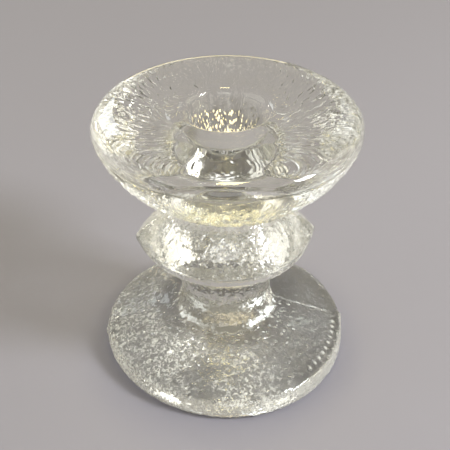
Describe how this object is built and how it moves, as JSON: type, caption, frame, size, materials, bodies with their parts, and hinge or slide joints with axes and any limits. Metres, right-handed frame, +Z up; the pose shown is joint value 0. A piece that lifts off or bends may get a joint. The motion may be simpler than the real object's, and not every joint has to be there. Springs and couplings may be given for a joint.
{
  "type": "glass taper candlestick",
  "caption": "Low clear pressed-glass candlestick: round foot, short stem, pointed ring and a thick drip bowl with a central taper socket.",
  "frame": {"origin": "centre of the foot's underside, on the surface that it stands on", "axes": "+Z up along the stem; the mould seam and the ring's two ears lie along X"},
  "size_m": [0.0741, 0.0752, 0.08],
  "materials": {
    "clear_glass": "clear soda glass with a faint warm tint; fire-polished on the bowl's top and rim, bark-textured elsewhere"
  },
  "bodies": {
    "root": {"foot": "clear_glass", "lower_stem": "clear_glass", "ring": "clear_glass", "neck": "clear_glass", "drip_bowl": "clear_glass"}
  },
  "joints": []
}
